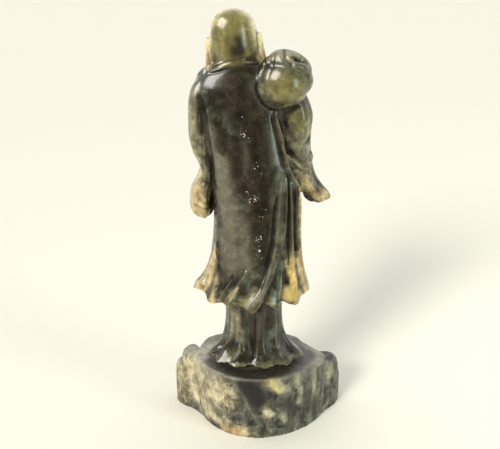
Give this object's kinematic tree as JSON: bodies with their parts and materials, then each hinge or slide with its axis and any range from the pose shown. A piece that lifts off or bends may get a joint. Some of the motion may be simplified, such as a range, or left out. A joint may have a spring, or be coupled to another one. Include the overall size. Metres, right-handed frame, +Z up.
{
  "type": "laughing buddha carving",
  "caption": "Carved stone figure of a standing plump monk in a long open coat, with a sack over the right shoulder, on a rock-shaped stone plinth.",
  "frame": {"origin": "centre of the plinth's flat underside", "axes": "+Z up, the figure faces -Y, and its left hand is on +X"},
  "size_m": [0.119, 0.086, 0.2803],
  "materials": {
    "figure_stone": "highly polished dark green serpentine, brown-black on the back, olive on the head and sack, cream where the stone is thin",
    "plinth_stone": "mottled cream, charcoal and green stone, worked with upright tool strokes, with a smoother grey-brown top"
  },
  "bodies": {
    "root": {"figure": "figure_stone", "plinth": "plinth_stone"}
  },
  "joints": []
}
